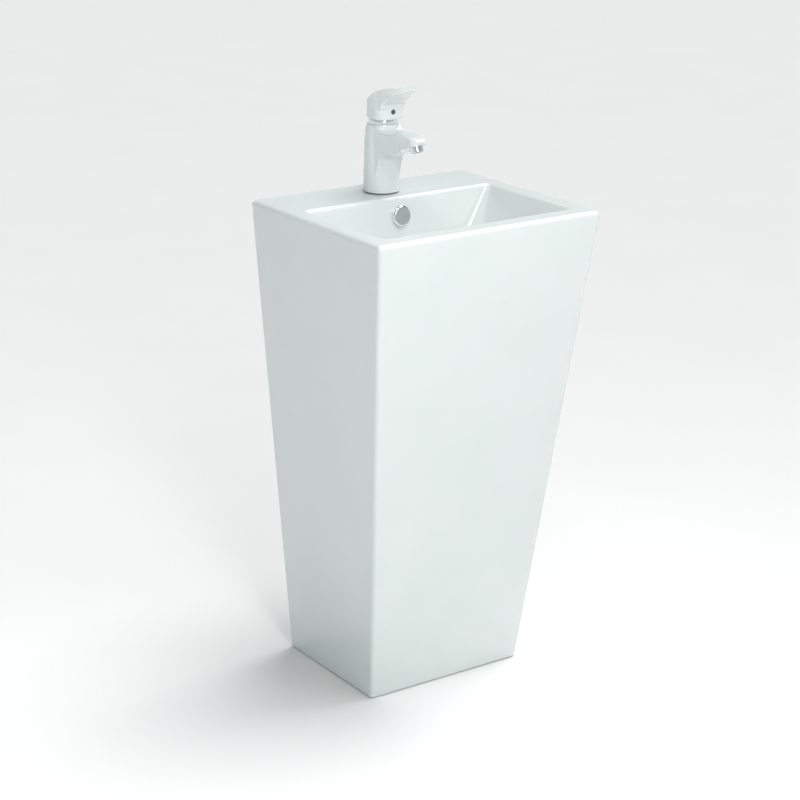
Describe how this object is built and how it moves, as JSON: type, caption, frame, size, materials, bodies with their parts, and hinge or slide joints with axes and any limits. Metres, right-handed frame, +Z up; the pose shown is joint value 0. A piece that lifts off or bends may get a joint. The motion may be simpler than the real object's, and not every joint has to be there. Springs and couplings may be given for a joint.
{
  "type": "pedestal sink",
  "caption": "Floor-standing one-piece pedestal washbasin, tapered to the floor, with a rectangular bowl, push-plug waste, bottle trap and a single-lever mixer tap.",
  "frame": {"origin": "on the floor, under the middle of the sink's overall outline", "axes": "+Z up, -Y is the front where the user stands, +Y is the wall side, +X is the user's right"},
  "size_m": [0.445, 0.397, 1.0425],
  "materials": {
    "glazed_ceramic": "white glaze, glossy",
    "white_paint": "white enamel, glossy",
    "chrome": "polished",
    "brass": "machined",
    "steel": "machined",
    "white_plastic": "moulded",
    "grey_plastic": "moulded",
    "disc_ceramic": "lapped",
    "rubber": "moulded"
  },
  "bodies": {
    "sink": {"ceramic_body": "glazed_ceramic", "faucet_body": "white_paint", "overflow_cap": "chrome", "bonnet_ring": "chrome", "aerator_housing": "chrome", "waste_body": "chrome", "inlet_tube": "chrome", "inlet_nut": "chrome", "trap_body": "chrome", "trap_cup": "chrome", "trap_neck_nut": "chrome", "outlet_tube": "chrome", "outlet_nut": "chrome", "wall_plate": "chrome", "cartridge_nut": "brass", "stud_nut_left": "brass", "stud_nut_right": "brass", "waste_nut": "brass", "plug_latch": "brass", "clamp_plate": "steel", "stud_left": "steel", "stud_right": "steel", "plug_spring": "steel", "overflow_bush": "white_plastic", "cartridge_housing": "white_plastic", "aerator_insert": "grey_plastic", "cartridge_base": "grey_plastic", "fixed_disc": "disc_ceramic", "aerator_washer": "rubber", "cartridge_seal": "rubber", "tap_gasket": "rubber", "clamp_washer": "rubber", "flange_seal": "rubber", "waste_washer": "rubber", "inlet_washer": "rubber", "trap_neck_washer": "rubber", "cup_seal": "rubber", "outlet_washer": "rubber"},
    "handle_carrier": {"cartridge_carrier": "grey_plastic", "carrier_pin": "steel"},
    "handle": {"lever_handle": "white_paint", "cartridge_stem": "steel", "handle_screw": "steel", "index_cap": "grey_plastic"},
    "disc": {"moving_disc": "disc_ceramic"},
    "plug": {"plug_cap": "chrome", "plug_seal": "rubber", "plug_stem": "brass"}
  },
  "joints": [
    {"name": "handle_swivel", "type": "hinge", "parent": "sink", "child": "handle_carrier", "pos_m": [0, 0.125, 0.971], "axis": [0, 0, 1], "range_deg": [-50, 50]},
    {"name": "handle_lift", "type": "hinge", "parent": "handle_carrier", "child": "handle", "pos_m": [0, 0.125, 0.971], "axis": [-1, 0, 0], "range_deg": [0, 22]},
    {"name": "disc_slide", "type": "slide", "parent": "handle_carrier", "child": "disc", "axis": [0, -1, 0], "range_m": [0, 0.006]},
    {"name": "plug_slide", "type": "slide", "parent": "sink", "child": "plug", "axis": [0, 0, 1], "range_m": [-0.009, 0], "stiffness_N_per_m": 200, "springref_m": 0.01, "deforming": ["plug_spring"]}
  ],
  "couplings": [
    {"joint": "disc_slide", "follows": "handle_lift", "m_per_rad": 0.0135}
  ]
}
